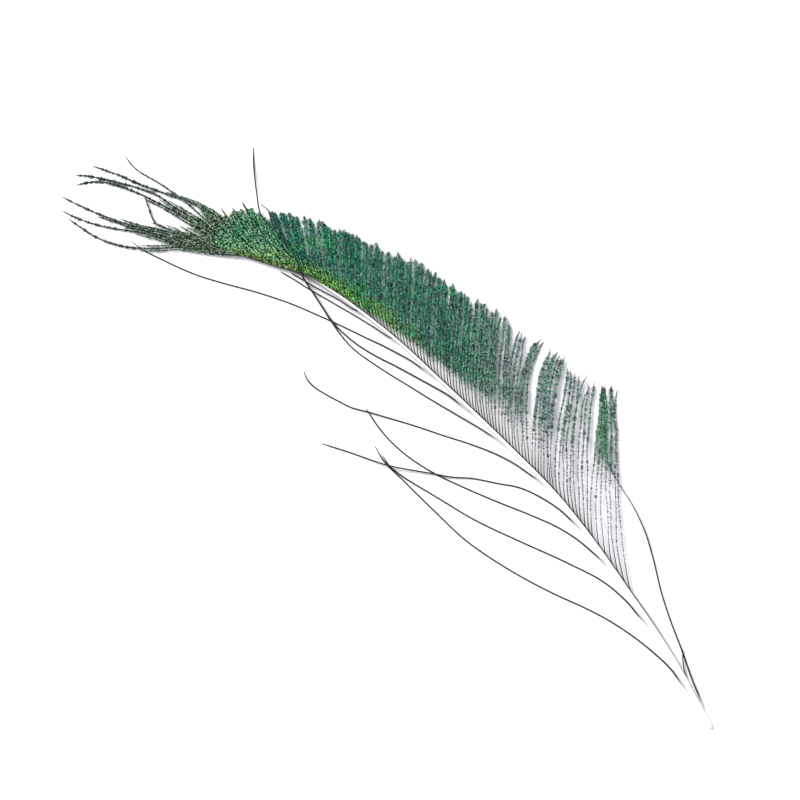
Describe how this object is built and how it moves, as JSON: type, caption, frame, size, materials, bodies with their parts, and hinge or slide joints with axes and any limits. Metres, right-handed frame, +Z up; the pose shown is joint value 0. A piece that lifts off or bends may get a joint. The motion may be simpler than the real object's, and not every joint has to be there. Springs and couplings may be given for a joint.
{
  "type": "peacock sword feather",
  "caption": "Peacock sword feather lying flat: cream shaft, green iridescent fringe along one side, bare dark barbs along the other and a spray of thin barbs at the tip.",
  "frame": {"origin": "middle of the flat under the quill, on the surface that the feather lies on", "axes": "+X from the quill to the feather's tip, +Y to the side of the bare barbs, -Y to the side of the green fringe, +Z up"},
  "size_m": [0.3792, 0.103, 0.0053],
  "materials": {
    "shaft": "satin",
    "fringe": "satin",
    "tuft": "satin",
    "bare_barb": "satin",
    "tip_barb": "satin"
  },
  "bodies": {
    "root": {"shaft": "shaft", "fringe_lock_01": "fringe", "fringe_lock_02": "fringe", "fringe_lock_03": "fringe", "fringe_lock_04": "fringe", "fringe_lock_05": "fringe", "fringe_lock_06": "fringe", "fringe_lock_07": "fringe", "fringe_lock_08": "fringe", "fringe_lock_09": "fringe", "fringe_lock_10": "fringe", "fringe_lock_11": "fringe", "fringe_lock_12": "fringe", "fringe_lock_13": "fringe", "fringe_lock_14": "fringe", "fringe_lock_15": "fringe", "tip_tuft_1": "tuft", "tip_tuft_2": "tuft", "tip_tuft_3": "tuft", "loose_barb_01": "bare_barb", "loose_barb_02": "bare_barb", "loose_barb_03": "bare_barb", "loose_barb_04": "bare_barb", "loose_barb_05": "bare_barb", "loose_barb_06": "bare_barb", "loose_barb_07": "bare_barb", "loose_barb_08": "bare_barb", "loose_barb_09": "bare_barb", "loose_barb_10": "bare_barb", "base_barb": "bare_barb", "short_base_barb": "bare_barb", "tip_barb_01": "tip_barb", "tip_barb_02": "tip_barb", "tip_barb_03": "tip_barb", "tip_barb_04": "tip_barb", "tip_barb_05": "tip_barb", "tip_barb_06": "tip_barb", "tip_barb_07": "tip_barb", "tip_barb_08": "tip_barb", "tip_barb_09": "tip_barb"}
  },
  "joints": []
}
